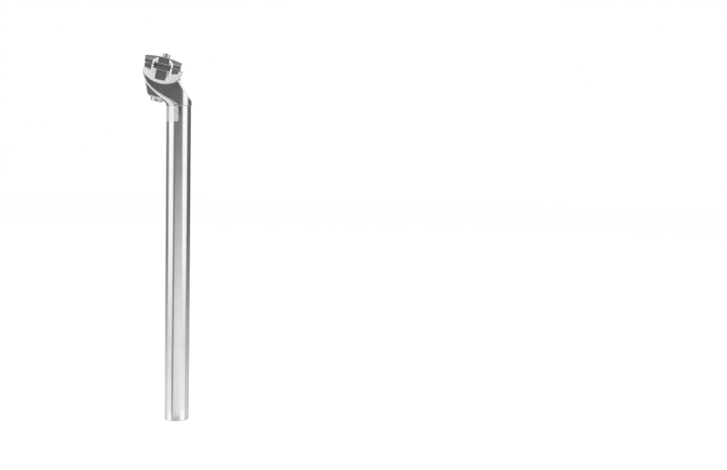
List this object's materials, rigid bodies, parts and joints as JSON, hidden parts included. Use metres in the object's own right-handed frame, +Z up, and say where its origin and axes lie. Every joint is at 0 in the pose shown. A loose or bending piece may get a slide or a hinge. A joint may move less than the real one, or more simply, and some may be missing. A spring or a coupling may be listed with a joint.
{
  "type": "bicycle seatpost",
  "caption": "Layback bicycle seatpost: hollow round tube, forged head with a round cup, and a two-jaw saddle rail clamp that tilts and is closed by one long screw from below.",
  "frame": {"origin": "centre of the tube's lower, open end", "axes": "+Z up the tube to the saddle clamp, +X to the front of the bicycle, +Y to its left side"},
  "size_m": [0.0528, 0.0554, 0.4071],
  "materials": {
    "polished_tube": "bright polished, with fine lines round the tube",
    "polished_head": "bright polished forging",
    "polished_clamp": "bright polished forging",
    "bright_steel": "bright plated steel",
    "clear_film": "clear glossy film, blank"
  },
  "bodies": {
    "post": {"post_tube": "polished_tube", "head": "polished_head", "label_film": "clear_film"},
    "cradle": {"lower_clamp": "polished_clamp", "rocker_washer": "bright_steel", "bolt_washer": "bright_steel"},
    "screw": {"clamp_bolt": "bright_steel"},
    "jaw": {"upper_clamp": "polished_clamp"}
  },
  "joints": [
    {"name": "clamp_tilt", "type": "hinge", "parent": "post", "child": "cradle", "pos_m": [-0.01444, 0, 0.40079], "axis": [0, 1, 0], "range_deg": [-3, 8]},
    {"name": "screw_turn", "type": "hinge", "parent": "cradle", "child": "screw", "pos_m": [-0.0166, 0, 0.3909], "axis": [-0.213, 0, -0.977], "range_deg": [0, 2016]},
    {"name": "jaw_lift", "type": "slide", "parent": "cradle", "child": "jaw", "axis": [0.213, 0, 0.977], "range_m": [0, 0.007]}
  ],
  "couplings": [
    {"joint": "screw_turn", "follows": "jaw_lift", "rad_per_m": 5026.5}
  ]
}
